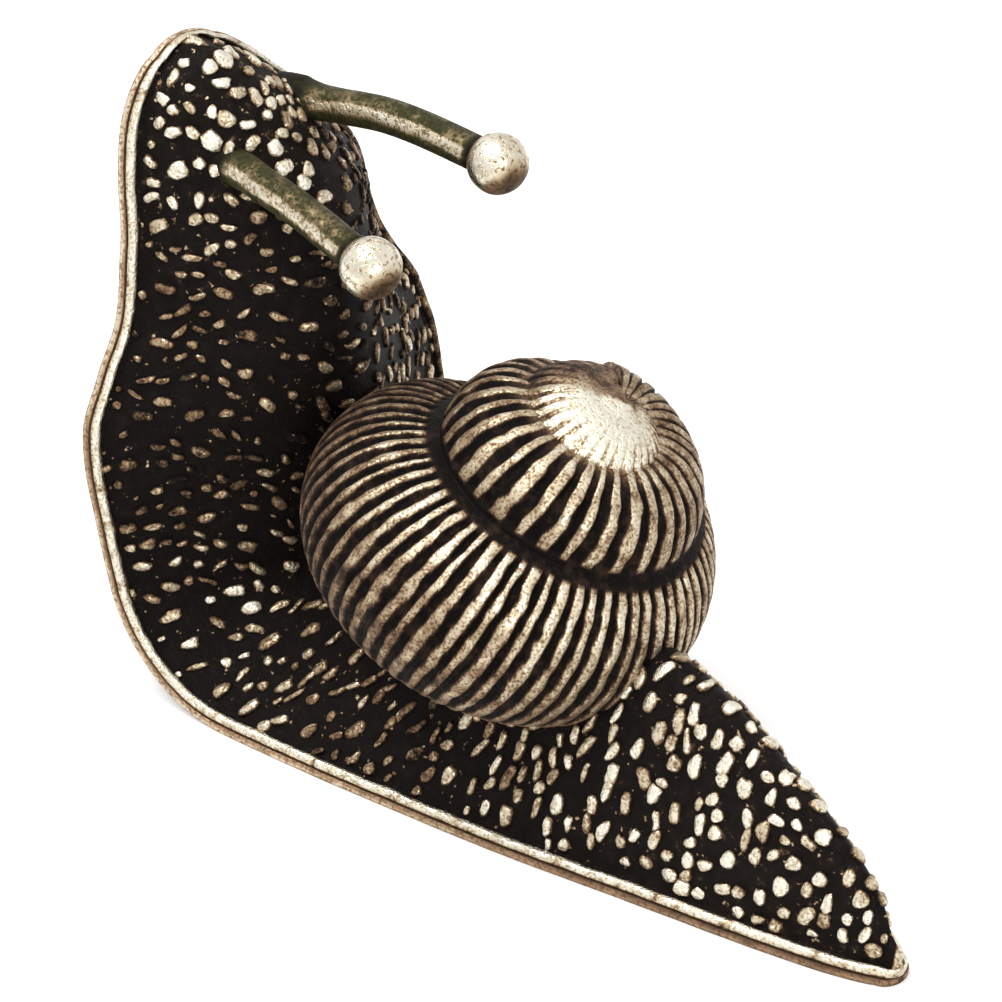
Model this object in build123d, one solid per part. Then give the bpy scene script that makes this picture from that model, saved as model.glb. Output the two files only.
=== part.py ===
from build123d import *
import os
from math import atan2, cos, hypot, pi, radians, sin, sqrt

os.makedirs("parts", exist_ok=True)

# side view of the sole: flat run under the tail, bend, raised run up to the head
tail_x = 25.6
bend_x = -10.5
bend_radius = 7.0
bend_angle = 81.0
plate_thick = 0.4
plate_lip = 0.1      # plate edge beyond the skin edge

# body edge above the plate
edge_high = 0.5      # upright edge of the skin
edge_sink = 0.5      # depth to which the raw casting runs below its joint
edge_tuck = 0.5      # inward slope of the edge, which opens a groove at the joint

# body stations: distance from tail tip, half width, side shift, height of back, fullness power
rear_seat = (20.0, 7.1, 0.0, 10.4, 0.75)
front_seat = (31.0, 9.6, 0.0, 7.2, 0.75)
brow = (66.5, 6.0, -1.2, 5.8, 0.52)
stations = [
    (0.0, 0.5, 0.0, 1.8, 0.70),
    (0.8, 1.1, 0.0, 2.9, 0.70),
    (2.5, 1.9, 0.0, 4.8, 0.70),
    (6.0, 3.1, 0.0, 7.1, 0.70),
    (13.0, 5.1, 0.0, 10.0, 0.72),
    rear_seat,
    (25.5, 8.4, 0.0, 9.2, 0.75),
    front_seat,
    (36.0, 10.4, -0.1, 5.9, 0.75),
    (41.0, 10.9, -0.2, 5.4, 0.75),
    (46.0, 11.1, -0.4, 5.8, 0.75),
    (51.0, 11.2, -0.6, 6.8, 0.75),
    (54.5, 10.75, -0.85, 7.4, 0.72),
    (57.0, 9.4, -0.8, 7.7, 0.68),
    (59.5, 8.1, -0.5, 7.7, 0.64),
    (63.0, 7.4, -0.3, 7.1, 0.58),
    brow,
    (69.5, 4.2, -2.1, 4.3, 0.48),
    (71.4, 2.3, -2.4, 2.9, 0.45),
    (72.2, 0.7, -2.4, 2.0, 0.45),
]

# shell: seat point, axis towards the apex, and coil values at every half turn back from the neck
shell_seat = Vector(-1.0, -0.65, 9.8)
shell_axis = Vector(0.42, 0.28, 0.86).normalized()
coil_radius = (7.0, 5.6, 4.6, 3.3, 3.2, 1.6, 0.8, 0.3)
tube_radius = (4.4, 4.9, 5.1, 3.3, 3.3, 3.2, 2.6, 2.2)
coil_rise = (-4.5, 0.1, 2.8, 6.5, 7.5, 8.7, 9.4, 9.9)
mouth_turn = -0.1    # the last whorl ends this far past the front
ribs_per_turn = 64   # on the last whorl; the spire has half as many, twice as wide
rib_high = 0.25
tube_turn_in = 60.0  # degrees below the tube's widest line where the base starts
base_radius = 3.0
base_low = -5.5
axis_hole = 0.3      # left open round the axis, then filled by the core
core_radius = 0.8
core_low = -1.0
apex_radius = 1.9
apex_rise = 10.4

# larger pebbles of the skin, in staggered rows across the back
pebble_gap = 2.9
pebble_stray = 0.4   # off their even places
pebble_sides = 6
pebble_long = 0.6    # half length, across the foot
pebble_wide = 0.42   # half width
pebble_rise = 0.2
pebble_sink = 0.5
pebble_clear = 0.15  # round the shell
rim_clear = 1.5      # from the edge to the first pebble of a row
tip_clear = 3.0      # from the tail and the head to the first row
root_clear = 2.2     # round the tentacles

# locating pins between back and shell
pin_radius = 1.0
pin_half = 2.5
pin_clear = 0.02

# tentacle rods and the beads on their ends
rod_radius = 0.88
rod_clear = 0.04
socket_depth = 1.2   # rod below its root point
rod_straight = 5.0   # straight length above its root point
bead_radius = 1.5
bead_bore = 0.6      # rod end past the bead's centre
left_root = (0.4, -2.2, 3.2)    # from the brow's station: along the foot, sideways, up from the sole
right_root = (1.1, 3.5, 2.1)
left_bow = Vector(6.5, -0.4, -0.2)     # from the root
left_reach = Vector(12.0, -1.0, -0.6)
right_bow = Vector(6.6, 1.2, 1.1)
right_reach = Vector(12.6, 1.9, 0.8)

flat_run = tail_x - bend_x
bend_run = bend_radius * radians(bend_angle)
wide = 3 * max(row[1] for row in stations)   # reach of the cutting solids past the foot
steps_per_turn = 2 * ribs_per_turn


def sole_plane(s, side=0.0):
    # plane across the foot at distance s from the tail: x to the snail's right, y up through the back
    turn = min(max((s - flat_run) / bend_radius, 0.0), radians(bend_angle))
    up = max(s - flat_run - bend_run, 0.0)
    x = bend_x - bend_radius * sin(turn) - up * cos(turn)
    if s < flat_run:
        x = tail_x - s
    z = bend_radius * (1 - cos(turn)) + up * sin(turn)
    return Plane((x, side, z), x_dir=(0, 1, 0), z_dir=(cos(turn), 0, -sin(turn)))


def sole_line(rise):
    # side view of the sole, lifted by rise, running past tail and head
    radius = bend_radius - rise
    a = radians(bend_angle)
    knee = (bend_x, rise)
    hip = (bend_x - radius * sin(a), bend_radius - radius * cos(a))
    up = stations[-1][0] - flat_run - bend_run + wide
    top = (hip[0] - up * cos(a), hip[1] + up * sin(a))
    start = (tail_x + wide, rise)
    arc = CenterArc((bend_x, bend_radius), radius, 270, -bend_angle)
    return Line(start, knee) + arc + Line(hip, top), start, top


def body_section(s, half, side, high, full):
    edge = plate_thick + edge_high
    steps = [1 - i / 4 for i in range(9)]
    crown = [(half * f, edge + (high - edge) * (0.5 * (1 + cos(pi * f))) ** full) for f in steps]
    foot = half - min(edge_tuck, half / 2)
    low = plate_thick - edge_sink
    base = Polyline(crown[-1], (-foot, low), (foot, low), crown[0])
    return sole_plane(s, side) * make_face(Spline(*crown) + base)


def plate_section(s, half, side):
    return sole_plane(s, side) * Pos(0, plate_thick / 2) * Rectangle(2 * (half + plate_lip), 3 * plate_thick)


# sole plate: a bent strip trimmed to the outline of the foot
lower, low_start, low_top = sole_line(0)
upper, up_start, up_top = sole_line(plate_thick)
strip_side = make_face(lower + upper + Line(low_start, up_start) + Line(low_top, up_top))
strip = extrude(Plane.XZ * strip_side, wide, both=True)
outline = loft([plate_section(*row[:3]) for row in stations])
sole_plate = strip & outline

# body: a loft over the stations, cut to the upper face of the plate
floor = Polyline(up_top, (-2 * wide, up_top[1]), (-2 * wide, -wide), (up_start[0], -wide), up_start)
under = extrude(Plane.XZ * make_face(upper + floor), wide, both=True)
blank = loft([body_section(*row) for row in stations])
body = blank - under

ahead = Vector(-1, 0, 0)
ahead = ahead - shell_axis * ahead.dot(shell_axis)
shell_frame = Plane(shell_seat, x_dir=ahead, z_dir=shell_axis)


def along(values, turn):
    # smooth value between half-turn marks, the first mark lying half a turn past the neck
    u = turn * 2 + 1
    i = min(max(int(u), 0), len(values) - 2)
    f = u - i
    a, b = values[i], values[i + 1]
    before = values[max(i - 1, 0)]
    after = values[min(i + 2, len(values) - 1)]
    m0 = (b - before) / 2
    m1 = (after - a) / 2
    h = f * f * (3 - 2 * f)
    return a + (b - a) * h + m0 * f * (1 - f) ** 2 - m1 * f * f * (1 - f)


def tube(turn, rib):
    return along(coil_radius, turn), along(coil_rise, turn), along(tube_radius, turn) + rib


def suture(low, high):
    # outer meeting point of two neighbouring whorls, in the half plane through the axis
    dr, dz = high[0] - low[0], high[1] - low[1]
    gap = hypot(dr, dz)
    way = (low[2] ** 2 - high[2] ** 2 + gap ** 2) / (2 * gap)
    out = sqrt(low[2] ** 2 - way ** 2)
    return low[0] + (way * dr + out * dz) / gap, low[1] + (way * dz - out * dr) / gap


def tube_arc(ring, start, end):
    r, z, radius = ring
    middle = (atan2(start[1] - z, start[0] - r) + atan2(end[1] - z, end[0] - r)) / 2
    return ThreePointArc(start, (r + radius * cos(middle), z + radius * sin(middle)), end)


def shell_section(step):
    # half profile of the shell, on a rib or in a groove: apex whorl, spire whorl, last whorl, base
    turn = mouth_turn + step / steps_per_turn
    rib = rib_high * (step % 2)
    spire_rib = rib_high * (step % 4 in (1, 2))
    last, spire, apex = tube(turn, rib), tube(turn + 1, spire_rib), tube(turn + 2, 0)
    top = (axis_hole, apex[1] + sqrt(apex[2] ** 2 - (apex[0] - axis_hole) ** 2))
    upper, main = suture(spire, apex), suture(last, spire)
    low = radians(tube_turn_in)
    under = (last[0] + last[2] * cos(low), last[1] - last[2] * sin(low))
    arcs = tube_arc(apex, top, upper) + tube_arc(spire, upper, main) + tube_arc(last, main, under)
    base = Polyline(under, (base_radius, base_low), (axis_hole, base_low), top)
    return shell_frame * Rot(0, 0, 360 * turn) * (Plane.XZ * make_face(arcs + base))


def foot_at(s):
    # half width, side shift and height of back between the stations
    for near, far in zip(stations, stations[1:]):
        if s <= far[0]:
            f = (s - near[0]) / (far[0] - near[0])
            return [a + (b - a) * f for a, b in zip(near[1:4], far[1:4])]


def tentacle_root(spot):
    return sole_plane(brow[0] + spot[0], brow[2] + spot[1]).from_local_coords(Vector(0, spot[2]))


def open_skin(spot):
    # true where a pebble stays clear of the last whorl and of the tentacles
    place = shell_frame.to_local_coords(spot)
    turn = (atan2(place.Y, place.X) / (2 * pi) - mouth_turn) % 1 + mouth_turn
    r, z, radius = tube(turn, rib_high)
    reach = hypot(place.X, place.Y)
    roots = [(spot - tentacle_root(root)).length for root in (left_root, right_root)]
    outside = hypot(reach - r, place.Z - z) > radius + pebble_long + pebble_clear
    return reach > r and outside and min(roots) > root_clear


sides = [2 * pi * k / pebble_sides for k in range(pebble_sides)]
corners = [(pebble_long * cos(a), pebble_wide * sin(a)) for a in sides]


def pebble(s, q):
    # flat-topped pebble standing on the skin at distance s along the foot and q sideways, or none
    below = sole_plane(s, q)
    hits = blank.find_intersection_points(Axis(below.origin + below.y_dir * edge_sink, below.y_dir))
    spot, normal = max(hits, key=lambda hit: (hit[0] - below.origin).dot(below.y_dir))
    if not open_skin(spot):
        return []
    across = below.x_dir - normal * below.x_dir.dot(normal)
    seat = Plane(spot - normal * pebble_sink, x_dir=across, z_dir=normal)
    return [seat * extrude(Polygon(*corners, align=None), pebble_sink + pebble_rise)]


pebbles = []
for row in range(int((stations[-1][0] - 2 * tip_clear) / pebble_gap) + 1):
    middle = tip_clear + row * pebble_gap
    half, side, high = foot_at(middle)
    count = max(int(2 * hypot(half - rim_clear, high) / pebble_gap) - row % 2, 2)
    for i in range(count):
        q = (2 * i / (count - 1) - 1) * (half - rim_clear) + pebble_stray * sin(5 * row + 2 * i)
        pebbles += pebble(middle + pebble_stray * sin(3 * row + 7 * i), side + q)
body += pebbles

# shell: ribbed half profiles turned round the axis while they shrink by one whorl a turn
profiles = [shell_section(step) for step in range(steps_per_turn + 1)]
shell = loft(profiles[:-1], ruled=True)
shell += loft(profiles[-2:], ruled=True)
core = Cylinder(core_radius, apex_rise - core_low, align=(Align.CENTER, Align.CENTER, Align.MIN))
shell += shell_frame * Pos(0, 0, core_low) * core
shell += shell_frame * Pos(0, 0, apex_rise) * Sphere(apex_radius)
for half in split(blank, bisect_by=Plane(shell_seat), keep=Keep.BOTH).solids():
    shell -= half


def pin_spot(seat):
    # middle of a pin, which stands half in the back and half in the shell
    return sole_plane(seat[0], seat[2]) * Pos(0, seat[3], 0) * Rot(-90, 0, 0)


pin = Cylinder(pin_radius, 2 * pin_half)
pin_hole = Cylinder(pin_radius + pin_clear, 2 * (pin_half + pin_clear))
front_shell_pin = pin_spot(front_seat) * pin
rear_shell_pin = pin_spot(rear_seat) * pin
for seat in (front_seat, rear_seat):
    body -= pin_spot(seat) * pin_hole
    shell -= pin_spot(seat) * pin_hole


def tentacle(spot, bow, reach):
    # rod, its socket in the head, and the drilled bead on its end
    root = tentacle_root(spot)
    centre = root + reach
    start = bow.normalized()
    finish = (reach - bow).normalized()
    sunk = root - start * socket_depth
    clear = root + start * rod_straight
    neck = centre - finish * bead_radius
    end = centre + finish * bead_bore
    line = Line(sunk, clear) + Spline(clear, neck, tangents=(start, finish)) + Line(neck, end)
    rod = sweep(Plane(sunk, z_dir=start) * Circle(rod_radius), path=line)
    hole = rod_radius + rod_clear
    upward = (Align.CENTER, Align.CENTER, Align.MIN)
    socket = Cylinder(hole, socket_depth + rod_clear + rod_straight, align=upward)
    bore = Cylinder(hole, bead_bore + rod_clear + bead_radius, align=upward)
    bead = Pos(*centre) * Sphere(bead_radius)
    bead -= Plane(end + finish * rod_clear, z_dir=-finish) * bore
    return rod, Plane(sunk - start * rod_clear, z_dir=start) * socket, bead


left_tentacle, left_socket, left_eye = tentacle(left_root, left_bow, left_reach)
right_tentacle, right_socket, right_eye = tentacle(right_root, right_bow, right_reach)
body -= left_socket
body -= right_socket

nodes = {
    "sole_plate": sole_plate,
    "body": body,
    "shell": shell,
    "front_shell_pin": front_shell_pin,
    "rear_shell_pin": rear_shell_pin,
    "left_tentacle": left_tentacle,
    "right_tentacle": right_tentacle,
    "left_eye": left_eye,
    "right_eye": right_eye,
}
for name, piece in nodes.items():
    export_step(piece, f"parts/{name}.step")
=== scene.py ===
import bmesh
import bpy
import numpy as np
from math import cos, pi, radians, sin
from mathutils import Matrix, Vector, noise


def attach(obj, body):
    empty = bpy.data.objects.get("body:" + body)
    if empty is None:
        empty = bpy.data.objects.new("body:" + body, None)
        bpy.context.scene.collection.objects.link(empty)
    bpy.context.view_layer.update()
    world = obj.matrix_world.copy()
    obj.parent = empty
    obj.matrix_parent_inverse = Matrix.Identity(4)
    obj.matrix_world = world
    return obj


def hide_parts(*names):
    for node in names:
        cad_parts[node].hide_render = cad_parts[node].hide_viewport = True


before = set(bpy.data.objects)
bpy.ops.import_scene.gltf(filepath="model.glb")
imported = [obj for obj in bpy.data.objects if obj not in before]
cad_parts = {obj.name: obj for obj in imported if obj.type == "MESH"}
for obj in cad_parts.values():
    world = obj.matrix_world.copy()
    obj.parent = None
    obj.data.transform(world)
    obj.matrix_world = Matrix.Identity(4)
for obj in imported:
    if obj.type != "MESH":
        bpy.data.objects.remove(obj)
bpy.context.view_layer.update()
scene = bpy.context.scene
mm = 0.001      # shapes are worked out in millimetres and brought to metres at the end
print("frame loaded,", len(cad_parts), "nodes")


# node helpers

def newMaterial(name):
    material = bpy.data.materials.new(name)
    material.use_nodes = True
    tree = material.node_tree
    return material, tree, tree.nodes["Principled BSDF"]


def feed(tree, socket, value):
    # an output is linked to the socket, anything else is set on it
    if isinstance(value, bpy.types.NodeSocket):
        tree.links.new(value, socket)
    else:
        socket.default_value = value


def addNode(tree, kind, inputs, **settings):
    made = tree.nodes.new(kind)
    for key, value in settings.items():
        setattr(made, key, value)
    for key, value in inputs.items():
        feed(tree, made.inputs[key], value)
    return made


def calc(tree, operation, a, b=None, clamp=False):
    inputs = {0: a} if b is None else {0: a, 1: b}
    return addNode(tree, "ShaderNodeMath", inputs, operation=operation, use_clamp=clamp).outputs[0]


def rangeOf(tree, value, low, high, outLow=0.0, outHigh=1.0, smooth=True):
    inputs = {"Value": value, "From Min": low, "From Max": high, "To Min": outLow, "To Max": outHigh}
    curve = "SMOOTHSTEP" if smooth else "LINEAR"
    return addNode(tree, "ShaderNodeMapRange", inputs, interpolation_type=curve).outputs["Result"]


# camera, floor and light

view = {"azimuth": 47, "elevation": 34, "distance": 0.230, "aim": (-0.00069, -0.00066, 0.01408), "lens": 173.5}


def placeCamera():
    az, el = radians(view["azimuth"]), radians(view["elevation"])
    back = Vector((sin(az) * cos(el), -cos(az) * cos(el), sin(el)))
    camera = bpy.data.objects.new("camera", bpy.data.cameras.new("camera"))
    scene.collection.objects.link(camera)
    camera.location = Vector(view["aim"]) + back * view["distance"]
    camera.rotation_euler = back.to_track_quat("Z", "Y").to_euler()
    camera.data.sensor_width = 36
    camera.data.lens = view["lens"]
    camera.data.clip_start = 0.01
    scene.camera = camera


studio = {
    "floorSize": 3.0, "floorColour": (0.80, 0.80, 0.79), "floorGlow": 0.42,
    "ambient": 0.42,
    "lamps": [  # name, place, size, energy
        ("overheadSoftbox", (-0.10, -0.10, 0.42), 0.30, 1.5),
        ("sideSoftbox", (0.34, -0.16, 0.20), 0.22, 0.55),
    ],
}


def rayMask(tree):
    # 1 for camera, glossy and transmission rays
    path = tree.nodes.new("ShaderNodeLightPath").outputs
    seen = calc(tree, "MAXIMUM", path["Is Camera Ray"], path["Is Glossy Ray"])
    return calc(tree, "MAXIMUM", seen, path["Is Transmission Ray"])


def setStudio():
    world = bpy.data.worlds.new("studioWorld")
    scene.world = world
    world.use_nodes = True
    tree = world.node_tree
    background = tree.nodes["Background"]
    background.inputs["Color"].default_value = (1, 1, 1, 1)
    strength = rangeOf(tree, rayMask(tree), 0.0, 1.0, studio["ambient"], 1.0, smooth=False)
    tree.links.new(strength, background.inputs["Strength"])
    for name, place, size, energy in studio["lamps"]:
        lamp = bpy.data.objects.new(name, bpy.data.lights.new(name, "AREA"))
        scene.collection.objects.link(lamp)
        lamp.location = place
        lamp.rotation_euler = (Vector(place) - Vector(view["aim"])).to_track_quat("Z", "Y").to_euler()
        lamp.data.size = size
        lamp.data.energy = energy
    half = studio["floorSize"] / 2
    mesh = bpy.data.meshes.new("studioFloor")
    mesh.from_pydata([(-half, -half, 0), (half, -half, 0), (half, half, 0), (-half, half, 0)], [], [(0, 1, 2, 3)])
    floor = bpy.data.objects.new("studioFloor", mesh)
    scene.collection.objects.link(floor)
    paper, tree, shader = newMaterial("palePaper")
    glow = calc(tree, "MULTIPLY", rayMask(tree), studio["floorGlow"])
    for key, value in (("Base Color", (*studio["floorColour"], 1)), ("Roughness", 0.9),
                       ("Specular IOR Level", 0.0),
                       ("Emission Color", (1, 1, 1, 1)), ("Emission Strength", glow)):
        feed(tree, shader.inputs[key], value)
    mesh.materials.append(paper)
    scene.view_settings.view_transform = "Standard"


placeCamera()
setStudio()
print("camera, floor and lamps set")


# finishes: dark patina with brass showing where the rub attribute is high; it holds both the polish of hands and
# painted light and shade

def grainNoise(tree, place, scale, detail, roughness):
    inputs = {"Vector": place, "Scale": scale, "Detail": detail, "Roughness": roughness}
    return addNode(tree, "ShaderNodeTexNoise", inputs).outputs["Fac"]


def ramp(tree, value, stops):
    made = tree.nodes.new("ShaderNodeValToRGB")
    tree.links.new(value, made.inputs["Fac"])
    elements = made.color_ramp.elements
    while len(elements) < len(stops):
        elements.new(0.5)
    for element, (spot, colour) in zip(elements, stops):
        element.position = spot
        element.color = (*colour, 1)
    return made.outputs["Color"]


patina = {
    "metalFrom": 0.15, "metalFull": 0.6, "smoothFull": 0.8, "specular": 0.06,
    "bumpDistance": 0.00006, "coarseBump": 0.6, "pitBump": 0.7,
}


def patinaBrass(name, colours, mottle, speckle, bumpHigh, rough=(0.55, 0.30), plainRub=None, glint=None):
    # colours go from the black ground through worn brown to bright brass
    material, tree, shader = newMaterial(name)
    place = tree.nodes.new("ShaderNodeTexCoord").outputs["Object"]
    coarse = grainNoise(tree, place, mottle["scale"], 4.0, 0.6)
    fine = grainNoise(tree, place, speckle["scale"], 3.0, 0.6)
    if plainRub is None:
        rub = addNode(tree, "ShaderNodeAttribute", {}, attribute_name="rub").outputs["Fac"]
    else:
        rub = plainRub
    wornAndLit = calc(tree, "ADD", rub, calc(tree, "MULTIPLY", calc(tree, "SUBTRACT", coarse, 0.5), mottle["share"]))
    # painted glints: small bright specks added to the colour
    if glint:
        specks = rangeOf(tree, grainNoise(tree, place, glint["scale"], 2.0, 0.5), glint["low"], glint["high"])
        wornAndLit = calc(tree, "ADD", wornAndLit, calc(tree, "MULTIPLY", specks, glint["share"]))
    pits = rangeOf(tree, fine, speckle["low"], speckle["high"])
    keep = rangeOf(tree, pits, 0.0, 1.0, 1.0 - speckle["share"], 1.0, smooth=False)
    wornAndLit = calc(tree, "MULTIPLY", wornAndLit, keep, clamp=True)
    tree.links.new(ramp(tree, wornAndLit, colours), shader.inputs["Base Color"])
    tree.links.new(rangeOf(tree, wornAndLit, patina["metalFrom"], patina["metalFull"]), shader.inputs["Metallic"])
    tree.links.new(rangeOf(tree, wornAndLit, 0.0, patina["smoothFull"], *rough), shader.inputs["Roughness"])
    shader.inputs["Specular IOR Level"].default_value = patina["specular"]
    grit = calc(tree, "ADD", calc(tree, "MULTIPLY", coarse, patina["coarseBump"]),
                calc(tree, "MULTIPLY", pits, patina["pitBump"]))
    bump = addNode(tree, "ShaderNodeBump",
                   {"Strength": bumpHigh, "Distance": patina["bumpDistance"], "Height": grit})
    tree.links.new(bump.outputs["Normal"], shader.inputs["Normal"])
    return material


black = (0.0065, 0.0047, 0.0040)
umber = (0.055, 0.032, 0.022)
brown = (0.25, 0.155, 0.085)
straw = (0.57, 0.48, 0.33)
cream = (0.83, 0.78, 0.66)

skinFinish = patinaBrass(
    "blackenedSkin", [(0.0, black), (0.22, (0.013, 0.009, 0.0075)), (0.45, brown), (0.68, straw), (0.95, cream)],
    {"scale": 1500, "share": 0.95}, {"scale": 6500, "low": 0.36, "high": 0.54, "share": 0.35}, 0.6,
    glint={"scale": 2600, "low": 0.64, "high": 0.74, "share": 0.5})
shellFinish = patinaBrass(
    "ribbedShellBrass", [(0.0, black), (0.22, umber), (0.38, brown), (0.58, straw), (0.82, cream)],
    {"scale": 1100, "share": 0.85}, {"scale": 7000, "low": 0.34, "high": 0.56, "share": 0.38}, 0.6)
plateFinish = patinaBrass(
    "plateBrownBrass", [(0.0, (0.03, 0.019, 0.013)), (0.35, (0.16, 0.095, 0.055)), (0.7, (0.37, 0.24, 0.14)),
                        (1.0, (0.74, 0.65, 0.50))],
    {"scale": 700, "share": 0.55}, {"scale": 5200, "low": 0.32, "high": 0.56, "share": 0.42}, 0.6, (0.6, 0.42))
rodFinish = patinaBrass(
    "tentacleOlivePatina",
    [(0.0, (0.012, 0.011, 0.006)), (0.30, (0.055, 0.052, 0.022)), (0.50, (0.21, 0.155, 0.082)),
     (0.75, straw), (1.0, cream)],
    {"scale": 1250, "share": 0.85}, {"scale": 5200, "low": 0.36, "high": 0.54, "share": 0.4}, 0.5)
beadFinish = patinaBrass(
    "polishedBeadBrass", [(0.0, black), (0.3, brown), (0.6, straw), (0.95, cream)],
    {"scale": 620, "share": 0.85}, {"scale": 4200, "low": 0.32, "high": 0.50, "share": 0.6}, 0.6, (0.5, 0.26))
pinFinish = patinaBrass(
    "pinBrass", [(0.0, brown), (0.5, straw), (1.0, cream)],
    {"scale": 700, "share": 0.4}, {"scale": 4000, "low": 0.36, "high": 0.5, "share": 0.3}, 0.3, (0.5, 0.3),
    plainRub=0.8)
print("finishes made")


# mesh helpers

def gridFaces(rows, cols, closed):
    # quads of a rows x cols grid whose columns may run round
    i = np.arange(rows - 1)[:, None]
    j = np.arange(cols if closed else cols - 1)[None, :]
    k = (j + 1) % cols
    return np.stack([i * cols + j, i * cols + k, (i + 1) * cols + k, (i + 1) * cols + j], -1).reshape(-1, 4)


def cappedFaces(rows, cols, closed):
    # the same grid with its first and last row closed
    ends = [list(range(cols)), [(rows - 1) * cols + i for i in reversed(range(cols))]]
    return gridFaces(rows, cols, closed).tolist() + ends


def makeObject(name, points, faces, values=None):
    mesh = bpy.data.meshes.new(name)
    mesh.from_pydata(np.asarray(points).tolist(), [], [list(face) for face in faces])
    for key, numbers in (values or {}).items():
        numbers = np.asarray(numbers, dtype=np.float32)
        if numbers.ndim == 2:
            mesh.attributes.new(key, "FLOAT_VECTOR", "POINT").data.foreach_set("vector", numbers.ravel())
        else:
            mesh.attributes.new(key, "FLOAT", "POINT").data.foreach_set("value", numbers)
    mesh.polygons.foreach_set("use_smooth", [True] * len(mesh.polygons))
    made = bpy.data.objects.new(name, mesh)
    scene.collection.objects.link(made)
    return made


def meshPoints(mesh):
    points = np.empty(len(mesh.vertices) * 3, dtype=np.float32)
    mesh.vertices.foreach_get("co", points)
    return points.reshape(-1, 3).astype(float)


def setPoints(mesh, points):
    mesh.vertices.foreach_set("co", np.asarray(points, dtype=np.float32).ravel())
    mesh.update()


def readValues(mesh, name):
    values = np.empty(len(mesh.vertices), dtype=np.float32)
    mesh.attributes[name].data.foreach_get("value", values)
    return values


def outward(mesh):
    shape = bmesh.new()
    shape.from_mesh(mesh)
    bmesh.ops.remove_doubles(shape, verts=shape.verts, dist=1e-5)
    bmesh.ops.recalc_face_normals(shape, faces=shape.faces)
    shape.to_mesh(mesh)
    shape.free()


def toMetres(made):
    setPoints(made.data, meshPoints(made.data) * mm)


def roughNoise(points, scale, seed):
    shift = Vector((seed * 3.1, seed * 7.7, seed * 1.9))
    return np.array([noise.noise(Vector(p) * scale + shift) for p in points])


def lineNoise(spots, scale, row, layer=0):
    return np.array([noise.noise(Vector((spot * scale, row, layer))) for spot in spots])


def evaluated(made):
    # the finished mesh of an object with its modifiers, which then go
    graph = bpy.context.evaluated_depsgraph_get()
    mesh = bpy.data.meshes.new_from_object(made.evaluated_get(graph))
    made.modifiers.clear()
    made.data = mesh
    return mesh


def blendStep(low, high, value):
    t = np.clip((value - low) / (high - low), 0, 1)
    return t * t * (3 - 2 * t)


def alongMarks(marks, spots):
    # straight between marks of place and value
    return np.interp(spots, *zip(*marks))


def throughPoints(marks, values, spots):
    # smooth curve through the marks that never swings past them
    gaps = np.diff(marks)
    slopes = np.diff(values) / gaps
    tangents = np.zeros(len(marks))
    for i in range(1, len(marks) - 1):
        if slopes[i - 1] * slopes[i] > 0:
            a, b = 2 * gaps[i] + gaps[i - 1], gaps[i] + 2 * gaps[i - 1]
            tangents[i] = (a + b) / (a / slopes[i - 1] + b / slopes[i])
    tangents[0], tangents[-1] = slopes[0], slopes[-1]
    i = np.clip(np.searchsorted(marks, spots) - 1, 0, len(marks) - 2)
    t = (spots - marks[i]) / gaps[i]
    h = t * t * (3 - 2 * t)
    return (values[i] * (1 - h) + values[i + 1] * h + gaps[i] * t * (1 - t) *
            ((1 - t) * tangents[i] - t * tangents[i + 1]))


def evenThrough(marks, values, spots):
    # natural cubic curve through the marks
    count, gaps = len(marks), np.diff(marks)
    system, right = np.eye(count), np.zeros(count)
    for i in range(1, count - 1):
        system[i, i - 1:i + 2] = gaps[i - 1], 2 * (gaps[i - 1] + gaps[i]), gaps[i]
        right[i] = 6 * ((values[i + 1] - values[i]) / gaps[i] - (values[i] - values[i - 1]) / gaps[i - 1])
    bend = np.linalg.solve(system, right)
    i = np.clip(np.searchsorted(marks, spots) - 1, 0, count - 2)
    a, b, gap = marks[i + 1] - spots, spots - marks[i], gaps[i]
    return ((bend[i] * a ** 3 + bend[i + 1] * b ** 3) / (6 * gap) + (values[i] / gap - bend[i] * gap / 6) * a +
            (values[i + 1] / gap - bend[i + 1] * gap / 6) * b)


# foot line and stations, as the solids have them: distance from tail, half width, side shift, height, fullness

footLine = {"tailX": 25.6, "bendX": -10.5, "bendRadius": 7.0, "bendAngle": 81.0, "plateThick": 0.4,
            "plateLip": 0.1}
stations = np.array([
    (0.0, 0.5, 0.0, 1.8, 0.70), (0.8, 1.1, 0.0, 2.9, 0.70), (2.5, 1.9, 0.0, 4.8, 0.70),
    (6.0, 3.1, 0.0, 7.1, 0.70),
    (13.0, 5.1, 0.0, 10.0, 0.72), (20.0, 7.1, 0.0, 10.4, 0.75), (25.5, 8.4, 0.0, 9.2, 0.75),
    (31.0, 9.6, 0.0, 7.2, 0.75), (36.0, 10.4, -0.1, 5.9, 0.75), (41.0, 10.9, -0.2, 5.4, 0.75),
    (46.0, 11.1, -0.4, 5.8, 0.75), (51.0, 11.2, -0.6, 6.8, 0.75), (54.5, 10.75, -0.85, 7.4, 0.72),
    (57.0, 9.4, -0.8, 7.7, 0.68), (59.5, 8.1, -0.5, 7.7, 0.64), (63.0, 7.4, -0.3, 7.1, 0.58),
    (66.5, 6.0, -1.2, 5.8, 0.52), (69.5, 4.2, -2.1, 4.3, 0.48), (71.4, 2.3, -2.4, 2.9, 0.45),
    (72.2, 0.7, -2.4, 2.0, 0.45)])
footLength = stations[-1, 0]


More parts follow.
